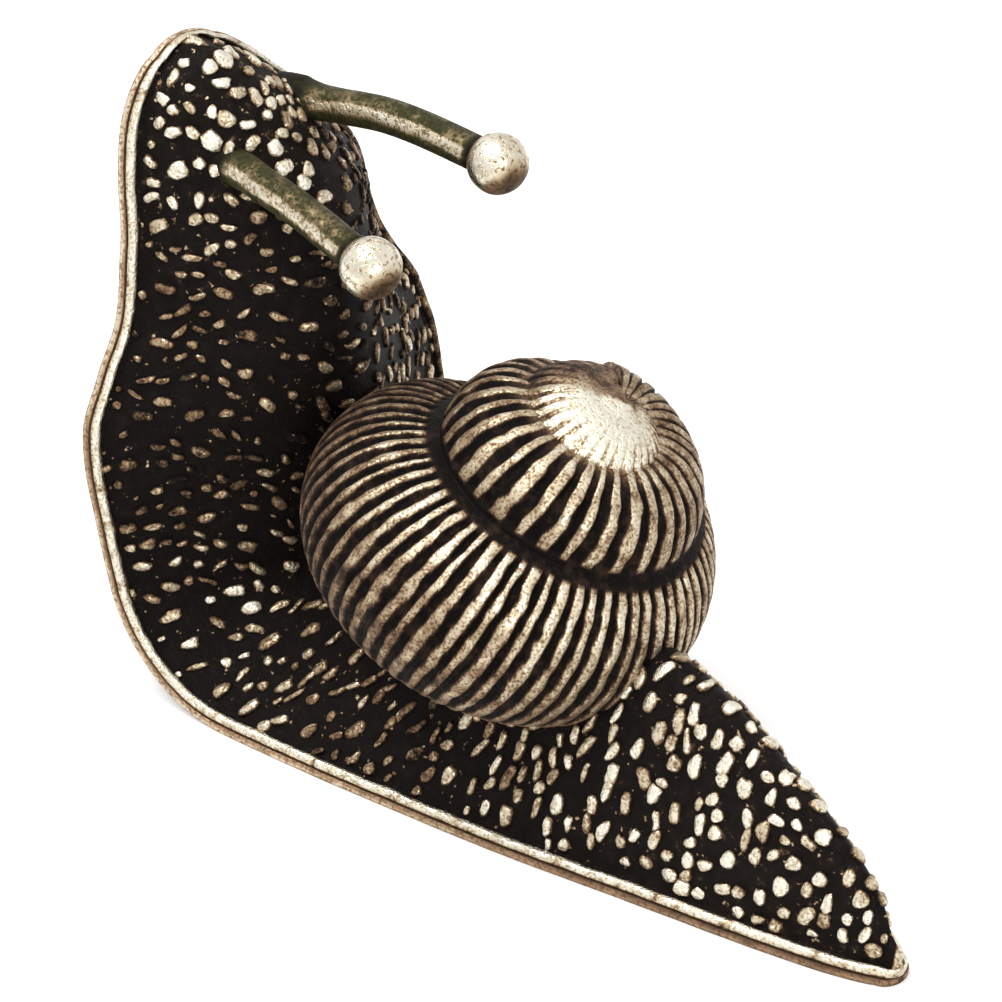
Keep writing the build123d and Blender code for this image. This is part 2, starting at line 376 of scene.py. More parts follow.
def footPoint(s, side, high):
    # millimetre place of a point by its distance along the foot, sideways and up from the sole
    bend = radians(footLine["bendAngle"])
    flat = footLine["tailX"] - footLine["bendX"]
    turn = np.clip((s - flat) / footLine["bendRadius"], 0, bend)
    up = np.maximum(s - flat - footLine["bendRadius"] * bend, 0)
    x = footLine["bendX"] - footLine["bendRadius"] * np.sin(turn) - up * np.cos(turn)
    x = np.where(s < flat, footLine["tailX"] - s, x)
    z = footLine["bendRadius"] * (1 - np.cos(turn)) + up * np.sin(turn)
    return np.stack([x + high * np.sin(turn), side + 0 * s, z + high * np.cos(turn)], -1)


def footSpots(count, ends=0.9):
    # distances along the foot, close together at both tips
    turn = np.linspace(0, pi / 2, 9)
    tip = ends * (1 - np.cos(turn))
    tip[0] = 0.012
    return np.concatenate([tip, np.linspace(ends, footLength - ends, count)[1:-1], footLength - tip[::-1]])


def footWidth(s, ends=0.9):
    # half width with rounded tips
    wide = throughPoints(stations[:, 0], stations[:, 1], np.clip(s, ends * 0.8, footLength - ends * 0.6))
    for reach in (s, footLength - s):
        t = np.clip(1 - reach / ends, 0, 1)
        wide = wide * np.sqrt(1 - t * t)
    return wide


def footShift(s):
    return throughPoints(stations[:, 0], stations[:, 2], s)


def backHeight(s, across, low):
    # height of the back over the sole at a share of the half width
    high = evenThrough(stations[:, 0], stations[:, 3], s)
    full = throughPoints(stations[:, 0], stations[:, 4], s)
    return low + (high - low) * np.clip(0.5 * (1 + np.cos(pi * across)), 0, 1) ** full


# sole plate: bent strip with a rounded, hand-filed edge

solePlate = {
    "rows": 260, "across": 10, "edgeSteps": 7, "edgeWave": 0.05, "waveScale": 0.45, "waveRow": 3.0,
    "edgeRound": 0.10, "edgePower": 0.6, "faceInset": 0.35, "topGap": 0.005,
    "edgeRub": 0.75, "cornerDull": 0.35, "topRub": 0.2, "soleRub": 0.36,
    "paleMarks": [(0, -0.12), (14, -0.08), (24, 0.12), (38, 0.24), (47, 0.20), (53, 0.06), (58, 0.28),
                  (72.2, 0.32)],
}


def makeSolePlate():
    p = solePlate
    s = footSpots(p["rows"])
    wobble = lineNoise(s, p["waveScale"], p["waveRow"])
    half = footWidth(s) + footLine["plateLip"] - p["edgeWave"] * (0.5 + 0.5 * wobble)
    thick = footLine["plateThick"]
    edge = []   # inward, up, how rubbed
    for turn in np.linspace(-pi / 2, pi / 2, p["edgeSteps"]):
        high = thick / 2 + thick / 2 * np.sign(np.sin(turn)) * np.abs(np.sin(turn)) ** p["edgePower"]
        edge.append((p["edgeRound"] * (1 - np.cos(turn)), high,
                     p["edgeRub"] - p["cornerDull"] * abs(np.sin(turn))))
    middle = np.linspace(1, -1, p["across"])
    inset = half - p["faceInset"]
    columns = [(half - d, high, rub, 1) for d, high, rub in edge]   # sideways, up, how rubbed, 1 on the edge
    columns += [(inset * m, thick - p["topGap"], p["topRub"], 0) for m in middle]
    columns += [(d - half, high, rub, 1) for d, high, rub in reversed(edge)]
    columns += [(inset * m, 0.0, p["soleRub"], 0) for m in middle[::-1]]
    shift = footShift(s)
    points = np.stack([footPoint(s, shift + q, high) for q, high, rub, onEdge in columns], 1)
    rub, onEdge = np.array([c[2] for c in columns]), np.array([c[3] for c in columns])
    rub = rub + alongMarks(p["paleMarks"], s)[:, None] * onEdge
    faces = cappedFaces(len(s), len(columns), True)
    plate = makeObject("solePlateCast", points.reshape(-1, 3), faces, {"rub": rub.ravel()})
    outward(plate.data)
    toMetres(plate)
    plate.data.materials.append(plateFinish)
    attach(plate, "root")
    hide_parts("sole_plate")


makeSolePlate()
print("sole plate made")


# body: skin with its bright rim, and pebbles over it

bodySkin = {
    "rows": 300, "across": 84, "edge": 0.9, "fullFrom": 1.1,
    "rim": [  # from its root to its shoulder: inward, up, how rubbed
        (0.30, 0.405, 0.0), (0.13, 0.43, 0.0), (0.03, 0.50, 0.35), (0.0, 0.60, 0.75), (0.03, 0.75, 0.95),
        (0.13, 0.86, 1.0)],
    "rimCrest": 0.28, "crestHigh": 0.01, "rimWide": 0.46, "innerLow": 0.05, "innerRub": 0.85,
    "rimStep": 0.16, "stepRub": 0.1, "footGap": 0.06, "footIn": 0.60, "footLead": -0.02, "footRise": 0.70,
    # noise along the rim: scale, then how far it moves or dulls it
    "waveScale": 0.9, "rimWave": 0.13, "outerWave": 0.03, "raggedScale": 2.7, "rimRagged": 0.08,
    "liftScale": 0.6, "rimLift": 0.05, "liftFrom": 0.6, "patchScale": 1.6, "patchFrom": (0.12, 0.5),
    "patchDull": 0.42,
    "farDull": 0.62, "farDullZone": (45, 50, 66, 69),
    # painted reflection: the ground between the pebbles is lighter at the tail and the head
    "groundSheen": 0.10, "sheenMiddle": 1.15, "sheenTail": (10, 20), "sheenHead": (58, 64),
    "tipReach": (0.35, 0.25), "tipRub": 0.8,
}


def zone(marks, along):
    # 1 between the inner two marks, falling to 0 at the outer two
    return blendStep(marks[0], marks[1], along) * blendStep(marks[3], marks[2], along)


def tipScale(half):
    # rim and groove shrink where the foot is narrow
    return np.minimum(1, half / bodySkin["fullFrom"])


def rimColumns(s, half, sign):
    b = bodySkin
    scale = tipScale(half)
    wave = lineNoise(s, b["waveScale"], 5.0 * sign)
    lift = lineNoise(s, b["liftScale"], 9.0 * sign, 2) * b["rimLift"]
    ragged = lineNoise(s, b["raggedScale"], 3.0 * sign, 4)
    patch = 1 - b["patchDull"] * blendStep(*b["patchFrom"], lineNoise(s, b["patchScale"], 7.0 * sign, 6))
    if sign > 0:
        patch = patch * (1 - b["farDull"] * zone(b["farDullZone"], s))
    inner = b["rimWide"] + b["rimWave"] * wave + b["rimRagged"] * ragged
    inner = np.minimum(inner, b["footIn"] - b["footGap"])
    outer = b["outerWave"] * (1 + wave)
    columns = [(half - (d + outer) * scale, high + lift * (high > b["liftFrom"]), rub * patch)
               for d, high, rub in b["rim"]]
    columns.append((half - (b["rimCrest"] + outer) * scale, b["edge"] + b["crestHigh"] + lift, patch))
    columns.append((half - inner * scale, b["edge"] - b["innerLow"] + lift, b["innerRub"] * patch))
    columns.append((half - (inner + b["footGap"]) * scale, np.full_like(s, b["edge"] - b["rimStep"]),
                    np.full_like(s, b["stepRub"])))
    return [(sign * q, high, rub) for q, high, rub in columns]


def skinHeight(s, q, half):
    # the back rises from the inner foot of the rim and soon meets the surface of the solid
    scale = tipScale(half)
    inside = half - bodySkin["footIn"] * scale - np.abs(q)
    low = bodySkin["edge"] - bodySkin["rimStep"]
    back = backHeight(s, np.clip(np.abs(q) / np.maximum(half, 1e-6), 0, 1), bodySkin["edge"])
    return low + (back - low) * blendStep(bodySkin["footLead"], bodySkin["footRise"], inside / scale)


def makeSkin():
    b = bodySkin
    s = footSpots(b["rows"])
    half = footWidth(s)
    shift = footShift(s)
    reach = half - b["footIn"] * tipScale(half)
    # painted reflection lightens the ground at the tail and the head
    groundSheen = b["groundSheen"] * (b["sheenMiddle"] - blendStep(*b["sheenTail"], s) + blendStep(*b["sheenHead"], s))
    columns = rimColumns(s, half, 1)
    for u in np.linspace(0, 1, b["across"]):
        q = reach * (1 - u) - reach * u
        columns.append((q, skinHeight(s, q, half), groundSheen))
    columns += rimColumns(s, half, -1)[::-1]
    points = np.stack([footPoint(s, shift + q, high) for q, high, rub in columns], 1).reshape(-1, 3)
    rub = np.stack([rub for q, high, rub in columns], 1)
    tips = (s < b["tipReach"][0]) | (s > footLength - b["tipReach"][1])
    rub[tips] = np.maximum(rub[tips], b["tipRub"])
    skin = makeObject("bodyCast", points, cappedFaces(len(s), len(columns), True), {"rub": rub.ravel()})
    outward(skin.data)
    return skin


pebbles = {
    "spacing": 0.80, "density": 6.0, "seed": 11, "rows": 150, "across": 60, "sides": 12, "rise": 0.20,
    "bedEnds": (0.9, 0.7), "bedInset": 0.01, "rimOpen": (0.22, 0.40), "flankOpen": 0.06,
    "mainGap": 2.9, "mainStray": 0.4, "mainClear": 1.05, "rimClear": 1.5, "tipClear": 3.0,
    "stir": 0.10, "stirScale": 1.9,
    # rings from the skirt up: share of the outline, height, how rubbed
    "rings": [(1.06, -0.6, 0.0), (0.95, 0.50, 0.62), (0.72, 0.94, 1.0)],
    # stretches along the foot
    "headFrom": (62, 66.5), "tailTo": (8, 20), "neckFrom": (34, 42), "tipFrom": (9, 2), "tipSmaller": 0.14,
    # on the head, the tail and the flank, and what the neck adds; then the least and the largest chance share
    "long": (0.92, 1.06, 1.16, -0.20), "wide": (0.86, 0.84, 0.50, -0.04), "swing": (0.9, 0.5, 0.42, 0.25),
    "mainLong": (1.04, 1.10, 1.20, -0.12), "mainWide": (0.86, 0.78, 0.66, -0.06),
    "longShare": (0.5, 1.22), "wideShare": (0.62, 1.22), "mainLongShare": (0.92, 1.12),
    "mainWideShare": (0.90, 1.15),
    "riseShare": (0.7, 1.15), "toneShare": (0.60, 1.16), "rimShort": 0.38, "rimShortTo": (0.3, 1.3),
    # pebble brightness along the foot: painted shadow dims the flank under the shell, and the neck is dimmer as
    # well
    "litAndShadedMarks": [(0, 1.04), (14, 1.04), (20, 0.88), (27, 0.46), (33, 0.68), (40, 0.92), (46, 0.74), (52, 0.48),
                    (58, 0.50), (62, 0.58), (66, 1.02), (72.2, 1.06)],
    # how far the marks lean forward at the bend and on the neck, and stand along its far side
    "bendLean": 0.55, "bendZone": (20, 28, 38, 46), "neckLean": 0.75, "neckZone": (40, 47, 54, 60),
    "neckWide": (0.8, 0.3),
    "farLean": 1.6, "farFrom": (0.05, 0.45), "farNeckZone": (45, 50, 57, 62), "farHeadZone": (54, 59, 66, 70),
    "farNeckBright": 0.45, "farHeadDull": 0.40, "leanFull": 0.2,
}


def pebbleShape(name, outline):
    # unit pebble: skirt below the skin, rounded shoulder, nearly flat top
    n = pebbles["sides"]
    turn = np.arange(n) * 2 * pi / n
    reach = np.array([outline(a) for a in turn])
    points, crown = [], []
    for share, high, value in pebbles["rings"]:
        for a, r in zip(turn, reach):
            points.append((0.5 * share * r * cos(a), 0.5 * share * r * sin(a), high))
            crown.append(value)
    points.append((0, 0, 1.0))
    crown.append(1.0)
    top = len(pebbles["rings"]) * n
    faces = gridFaces(len(pebbles["rings"]), n, True).tolist()
    faces += [[top - n + i, top - n + (i + 1) % n, top] for i in range(n)]
    made = makeObject(name, points, faces, {"rub": crown})
    scene.collection.objects.unlink(made)
    return made


def blunt(a, power):
    # outline between a circle and a square
    return (abs(cos(a)) ** power + abs(sin(a)) ** power) ** (-1 / power)


def pebbleBed():
    # upper skin alone, with the lie and the size of the pebbles written on it
    p = pebbles
    s = np.linspace(p["bedEnds"][0], footLength - p["bedEnds"][1], p["rows"])
    half = footWidth(s)
    shift = footShift(s)
    inset = half - (bodySkin["footIn"] + p["bedInset"]) * tipScale(half)
    shares = np.linspace(1, -1, p["across"])
    points = np.stack([footPoint(s, shift + inset * u, skinHeight(s, inset * u, half)) for u in shares], 1)
    steps = np.linalg.norm(np.diff(points, axis=1), axis=2)
    fromLeft = np.concatenate([np.zeros((len(s), 1)), np.cumsum(steps, 1)], 1)
    toRim = np.minimum(fromLeft, fromLeft[:, -1:] - fromLeft)
    across = shares[None, :] + 0 * s[:, None]
    along = s[:, None] + 0 * across
    head = blendStep(*p["headFrom"], along)
    tail = 1 - blendStep(*p["tailTo"], along)
    flank = 1 - np.maximum(head, tail)
    neck = blendStep(*p["neckFrom"], along) * flank
    small = 1 - p["tipSmaller"] * blendStep(*p["tipFrom"], along)

    def mixed(key):
        a, b, c, d = p[key]
        return a * head + b * tail + c * flank + d * neck

    nearRim = 1 - p["rimShort"] + p["rimShort"] * blendStep(*p["rimShortTo"], toRim)
    far = blendStep(*p["farFrom"], across)
    farNeck, farHead = far * zone(p["farNeckZone"], along), far * zone(p["farHeadZone"], along)
    # pebble brightness: the marks paint shadow along the foot; it is also lighter on the far side of the neck and
    # darker on the far side of the head
    bright = alongMarks(p["litAndShadedMarks"], along) * (1 + p["farNeckBright"] * farNeck - p["farHeadDull"] * farHead)
    # marks run from the rim to the shell: they lean forward at the bend and stand along the far side of the neck
    side = np.clip(-across / p["leanFull"], -1, 1)
    onNeck = zone(p["neckZone"], along) * blendStep(*p["neckWide"], np.abs(across))
    lean = side * (p["bendLean"] * zone(p["bendZone"], along) + p["neckLean"] * onNeck)
    lean = lean - p["farLean"] * np.maximum(farNeck, farHead)
    flow = np.gradient(points, axis=1)
    forward = np.gradient(points, axis=0)
    forward *= (np.linalg.norm(flow, axis=2) / np.linalg.norm(forward, axis=2))[:, :, None]
    flow = flow + forward * lean[:, :, None]
    values = {"long": mixed("long") * nearRim * small, "wide": mixed("wide") * small, "swing": mixed("swing"),
              "bright": bright, "open": blendStep(*p["rimOpen"], toRim) * (1 - p["flankOpen"] * flank),
              "mainLong": small * mixed("mainLong"), "mainWide": small * mixed("mainWide")}
    values = {key: value.ravel() for key, value in values.items()}
    values["flow"] = flow.reshape(-1, 3)
    return makeObject("pebbleBed", points.reshape(-1, 3), gridFaces(len(s), p["across"], False)[:, ::-1], values)


def mainSpots():
    # the larger pebbles stand where the solid has them
    p = pebbles
    places = []
    for row in range(int((footLength - 2 * p["tipClear"]) / p["mainGap"]) + 1):
        middle = p["tipClear"] + row * p["mainGap"]
        half, side, high = [np.interp(middle, stations[:, 0], stations[:, k]) for k in (1, 2, 3)]
        count = max(int(2 * np.hypot(half - p["rimClear"], high) / p["mainGap"]) - row % 2, 2)
        for i in range(count):
            q = (2 * i / (count - 1) - 1) * (half - p["rimClear"]) + p["mainStray"] * sin(5 * row + 2 * i)
            places.append((middle + p["mainStray"] * sin(3 * row + 7 * i), side + q))
    s, q = np.array(places).T
    return makeObject("mainSpots", footPoint(s, q, skinHeight(s, q - footShift(s), footWidth(s))), [])


def newTree(name, coming, inputs, going):
    # node tree with one geometry in, one out and its named inputs, whose identifiers go back with it
    tree = bpy.data.node_groups.new(name, "GeometryNodeTree")
    tree.interface.new_socket(coming, in_out="INPUT", socket_type="NodeSocketGeometry")
    sockets = {}
    for label, kind in inputs:
        made = tree.interface.new_socket(label, in_out="INPUT", socket_type="NodeSocket" + kind)
        sockets[label] = made.identifier
    tree.interface.new_socket(going, in_out="OUTPUT", socket_type="NodeSocketGeometry")
    return tree, sockets, tree.nodes.new("NodeGroupInput")


def endTree(tree, geometry, finish):
    real = addNode(tree, "GeometryNodeRealizeInstances", {0: geometry})
    coat = addNode(tree, "GeometryNodeSetMaterial", {"Geometry": real.outputs[0], "Material": finish})
    tree.links.new(coat.outputs[0], tree.nodes.new("NodeGroupOutput").inputs[0])


def named(tree, label, kind="FLOAT"):
    return addNode(tree, "GeometryNodeInputNamedAttribute", {"Name": label}, data_type=kind).outputs["Attribute"]


def store(tree, geometry, label, value):
    inputs = {"Geometry": geometry, "Name": label, "Value": value}
    return addNode(tree, "GeometryNodeStoreNamedAttribute", inputs, data_type="FLOAT", domain="POINT").outputs[0]


def applyTree(made, tree, sockets, values):
    modifier = made.modifiers.new(tree.name, "NODES")
    modifier.node_group = tree
    for label, value in values.items():
        modifier[sockets[label]] = value


def pebbleTree(shapes):
    tree, sockets, start = newTree("pebbleScatter", "Skin", (
        ("Spacing", "Float"), ("Rise", "Float"), ("Seed", "Int"), ("Main spots", "Object"),
        ("Main clearance", "Float"),
        ("Finish", "Material"), ("Shapes", "Collection")), "Pebbles")
    nodes, links = tree.nodes, tree.links
    number = nodes.new("GeometryNodeInputIndex")

    def chance(limits, step, kind="FLOAT"):
        made = nodes.new("FunctionNodeRandomValue")
        made.data_type = kind
        ports = [port for port in made.inputs if port.name in ("Min", "Max") and port.enabled]
        ports[0].default_value, ports[1].default_value = limits
        links.new(calc(tree, "ADD", start.outputs["Seed"], step), made.inputs["Seed"])
        links.new(number.outputs[0], made.inputs["ID"])
        return next(port for port in made.outputs if port.enabled)

    def onSkin(value, kind="FLOAT"):
        inputs = {"Mesh": start.outputs["Skin"], "Value": value}
        return addNode(tree, "GeometryNodeSampleNearestSurface", inputs, data_type=kind).outputs["Value"]

    def orMain(usual, main):
        return addNode(tree, "ShaderNodeMix", {"Factor": named(tree, "main"), 2: usual, 3: main}).outputs[0]

    def times(a, b):
        return calc(tree, "MULTIPLY", a, b)

    def sized(key, step):
        return times(chance(pebbles[key + "Share"], step), onSkin(named(tree, key)))

    spread = addNode(tree, "GeometryNodeDistributePointsOnFaces", {
        "Mesh": start.outputs["Skin"], "Distance Min": start.outputs["Spacing"],
        "Density Max": pebbles["density"],
        "Density Factor": named(tree, "open"), "Seed": start.outputs["Seed"]}, distribute_method="POISSON")
    # the larger pebbles keep their places, and small ones too near to them go
    large = addNode(tree, "GeometryNodeObjectInfo", {"Object": start.outputs["Main spots"]})
    largePoints = addNode(tree, "GeometryNodeMeshToPoints", {"Mesh": large.outputs["Geometry"]})
    mark = store(tree, largePoints.outputs[0], "main", 1.0)
    near = addNode(tree, "GeometryNodeProximity", {0: mark}, target_element="POINTS")
    crowded = addNode(tree, "FunctionNodeCompare", {
        0: near.outputs["Distance"], 1: start.outputs["Main clearance"]}, operation="LESS_THAN")
    thin = addNode(tree, "GeometryNodeDeleteGeometry", {
        "Geometry": spread.outputs["Points"], "Selection": crowded.outputs[0]})
    both = addNode(tree, "GeometryNodeJoinGeometry", {0: thin.outputs[0]})
    links.new(mark, both.inputs[0])
    # upright on the skin, along its flow, turned by chance
    upright = onSkin(nodes.new("GeometryNodeInputNormal").outputs[0], "FLOAT_VECTOR")
    stand = addNode(tree, "FunctionNodeAlignRotationToVector", {"Vector": upright}, axis="Z")
    flow = onSkin(named(tree, "flow", "FLOAT_VECTOR"), "FLOAT_VECTOR")
    lie = addNode(tree, "FunctionNodeAlignRotationToVector", {
        "Rotation": stand.outputs[0], "Vector": flow}, axis="X", pivot_axis="Z")
    swing = onSkin(named(tree, "swing"))
    angle = times(chance((-1.0, 1.0), 1), orMain(swing, times(swing, swing)))
    spin = addNode(tree, "ShaderNodeCombineXYZ", {"Z": angle})
    asTurn = addNode(tree, "FunctionNodeEulerToRotation", {0: spin.outputs[0]})
    turned = addNode(tree, "FunctionNodeRotateRotation", {
        0: lie.outputs[0], 1: asTurn.outputs[0]}, rotation_space="LOCAL")
    size = addNode(tree, "ShaderNodeCombineXYZ", {
        "X": orMain(sized("long", 2), sized("mainLong", 7)), "Y": orMain(sized("wide", 3), sized("mainWide", 8)),
        "Z": times(chance(pebbles["riseShare"], 4), start.outputs["Rise"])})
    # tone is a chance share times the painted light and shadow along the foot
    brightness = times(chance(pebbles["toneShare"], 5), onSkin(named(tree, "bright")))
    tone = store(tree, both.outputs[0], "tone", brightness)
    stock = addNode(tree, "GeometryNodeCollectionInfo", {
        "Collection": start.outputs["Shapes"], "Separate Children": True, "Reset Children": True})
    place = addNode(tree, "GeometryNodeInstanceOnPoints", {
        "Points": tone, "Instance": stock.outputs[0], "Pick Instance": True,
        "Instance Index": chance((0, len(shapes) - 1), 6, "INT"), "Rotation": turned.outputs[0],
        "Scale": size.outputs[0]})
    endTree(tree, place.outputs[0], start.outputs["Finish"])
    return tree, sockets


def makePebbles():
    shapes = [
        pebbleShape("pebbleDisc", lambda a: blunt(a, 2.2) + 0.06 * cos(3 * a + 1)),
        pebbleShape("pebbleOval", lambda a: blunt(a, 2.8) + 0.08 * cos(2 * a + 0.5) + 0.07 * cos(5 * a)),
        pebbleShape("pebbleBean", lambda a: blunt(a, 2.8) - 0.34 * max(0.0, sin(a)) ** 6 + 0.06 * cos(4 * a)),
        pebbleShape("pebbleDrop", lambda a: 0.90 * blunt(a, 2.5) + 0.20 * cos(a) + 0.07 * cos(3 * a + 2)),
        pebbleShape("pebbleBlock",
                    lambda a: 0.94 * blunt(a, 3.4) + 0.09 * cos(3 * a + 0.4) + 0.06 * cos(5 * a + 1)),
        pebbleShape("pebbleLobes", lambda a: blunt(a, 2.6) - 0.26 * abs(sin(a)) ** 5 + 0.10 * cos(a + 0.6)),
    ]
    stock = bpy.data.collections.new("pebbleStock")
    for shape in shapes:
        stock.objects.link(shape)
    bed = pebbleBed()
    large = mainSpots()
    tree, sockets = pebbleTree(shapes)
    applyTree(bed, tree, sockets, {
        "Main spots": large, "Main clearance": pebbles["mainClear"], "Spacing": pebbles["spacing"],
        "Rise": pebbles["rise"], "Seed": pebbles["seed"], "Finish": skinFinish, "Shapes": stock})
    mesh = evaluated(bed)
    # pebble crowns times their tone, so the painted shadow goes into the colour
    rub = readValues(mesh, "rub") * readValues(mesh, "tone")
    mesh.attributes["rub"].data.foreach_set("value", rub)
    mesh.attributes.remove(mesh.attributes["tone"])
    points = meshPoints(mesh)
    noise.seed_set(pebbles["seed"])   # without it noise_vector starts from the clock
    stir = np.array([noise.noise_vector(Vector(p) * pebbles["stirScale"]) for p in points])
    setPoints(mesh, points + pebbles["stir"] * stir)
    for shape in shapes + [large]:
        bpy.data.objects.remove(shape)
    bpy.data.collections.remove(stock)
    return bed


def joinPieces(main, others):
    # one mesh of the main piece and others, each keeping its rub values
    parts = [main] + others
    points, faces, rub = [], [], []
    for part in parts:
        first = sum(len(p) for p in points)
        points.append(meshPoints(part.data))
        faces += [[first + i for i in face.vertices] for face in part.data.polygons]
        rub.append(readValues(part.data, "rub"))
    for part in others:
        bpy.data.objects.remove(part)
    name = main.name
    bpy.data.objects.remove(main)
    return makeObject(name, np.concatenate(points), faces, {"rub": np.concatenate(rub)})


def makeBody():
    skin = makeSkin()
    cover = makePebbles()
    print("pebbles scattered:", len(cover.data.polygons) // (3 * pebbles["sides"]))
    body = joinPieces(skin, [cover])
    toMetres(body)
    body.data.materials.append(skinFinish)
    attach(body, "root")
    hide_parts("body")


makeBody()
print("body made")


# shell: a tube that shrinks as it coils up its axis, with a rib for every growth line

shellCoil = {
    "seat": (-1.0, -0.65, 9.8), "axis": (0.42, 0.28, 0.86), "mouthTurn": -0.1,
    "coilRadius": (7.0, 5.6, 4.6, 3.3, 3.2, 1.6, 0.8, 0.3),
    "tubeRadius": (4.4, 4.9, 5.1, 3.3, 3.3, 3.2, 2.6, 2.2),
    "coilRise": (-4.5, 0.1, 2.8, 6.5, 7.5, 8.7, 9.4, 9.9), "ribHigh": 0.25,
    "apexTop": 12.25, "tubeTurnIn": 60.0, "baseRadius": 3.0, "baseLow": -5.5,
    "steps": 704, "capSteps": 6, "apexSteps": 10, "spireSteps": 34, "lastSteps": 50, "baseSteps": 5,
    "ribsLast": 64, "ribsSpire": 32, "spireFirst": 0.125, "ribDeep": 0.30, "grooveShare": 0.47, "seed": 5,
    "grooveStray": 0.13, "lastWaver": 0.10, "spireWaver": 0.12, "ragged": 0.11, "raggedScale": 1.3,
    "gapWander": 0.45, "gapScale": 0.9, "lastDip": (0.040, 0.070), "spireDip": (0.050, 0.085),
    "apexDip": 0.86, "apexDipWide": 0.10, "apexDipZone": (0.22, 0.02), "baseRub": 0.05,
    "lowerShadeFrom": (0.95, -0.30),
    "seatDepth": 0.3, "seatZone": (0.5, 46.0),
    # along the coil: how deep the ribs are, how bright (polish together with painted light and shade), how much
    # painted shade browns the lower half, how wide the grooves
    "ribMarks": [(-0.1, 1), (1.40, 1), (1.6, 0.7), (1.9, 0.5), (2.15, 0.45), (2.3, 0.2), (2.5, 0.25), (2.9, 0.5)],
    "polishAndLightMarks": [(-0.1, 0.27), (0.04, 0.33), (0.14, 0.54), (0.22, 0.68), (0.38, 0.72), (0.50, 0.64),
                    (0.62, 0.54),
                    (0.9, 0.48), (1.02, 0.42), (1.10, 0.52), (1.18, 0.58), (1.36, 0.64), (1.46, 0.60),
                    (1.56, 0.50), (1.75, 0.48), (1.9, 0.44), (2.0, 0.28), (2.08, 0.38), (2.16, 0.88),
                    (2.4, 1.0), (2.5, 0.86), (2.6, 0.74), (2.75, 0.42), (2.9, 0.28)],
    "lowerShadeMarks": [(-0.1, 0.30), (0.2, 0.48), (0.4, 0.32), (0.6, 0.26), (0.9, 0.30), (1.1, 0.15), (1.9, 0.10),
                   (2.9, 0.10)],
    "gapMarks": [(-0.1, 1.25), (0.1, 1.15), (0.25, 1.0), (0.45, 0.90), (0.6, 0.68), (0.9, 0.80), (1.02, 1.1),
                 (1.15, 1.02), (1.4, 1.02), (1.5, 0.86), (1.6, 0.55), (1.9, 0.55), (2.05, 0.8), (2.9, 0.7)],
}


def coilValue(values, turn):
    # smooth value between half-turn marks, the first lying half a turn past the neck
    values = np.array(values)
    u = turn * 2 + 1
    i = np.clip(u.astype(int), 0, len(values) - 2)
    f = u - i
    a, b = values[i], values[i + 1]
    before, after = values[np.maximum(i - 1, 0)], values[np.minimum(i + 2, len(values) - 1)]
    m0, m1 = (b - before) / 2, (after - a) / 2
    h = f * f * (3 - 2 * f)
    return a + (b - a) * h + m0 * f * (1 - f) ** 2 - m1 * f * f * (1 - f)


def whorl(turn, rib):
    radius, rise, tube = [coilValue(shellCoil[key], turn) for key in ("coilRadius", "coilRise", "tubeRadius")]
    return radius, rise, tube + rib


def suturePoint(low, high):
    dr, dz = high[0] - low[0], high[1] - low[1]
    gap = np.hypot(dr, dz)
    way = (low[2] ** 2 - high[2] ** 2 + gap ** 2) / (2 * gap)
    out = np.sqrt(np.maximum(low[2] ** 2 - way ** 2, 0))
    return low[0] + (way * dr + out * dz) / gap, low[1] + (way * dz - out * dr) / gap


def ribPhase(turn, count, first, seed):
    # counts ribs along the turn, whose grooves stand a little off their even places
    even = (turn - shellCoil["mouthTurn"]) * count + first
    marks = np.arange(count + 3)
    stray = shellCoil["grooveStray"]
    return np.interp(even, marks + np.random.default_rng(seed).uniform(-stray, stray, len(marks)), marks)


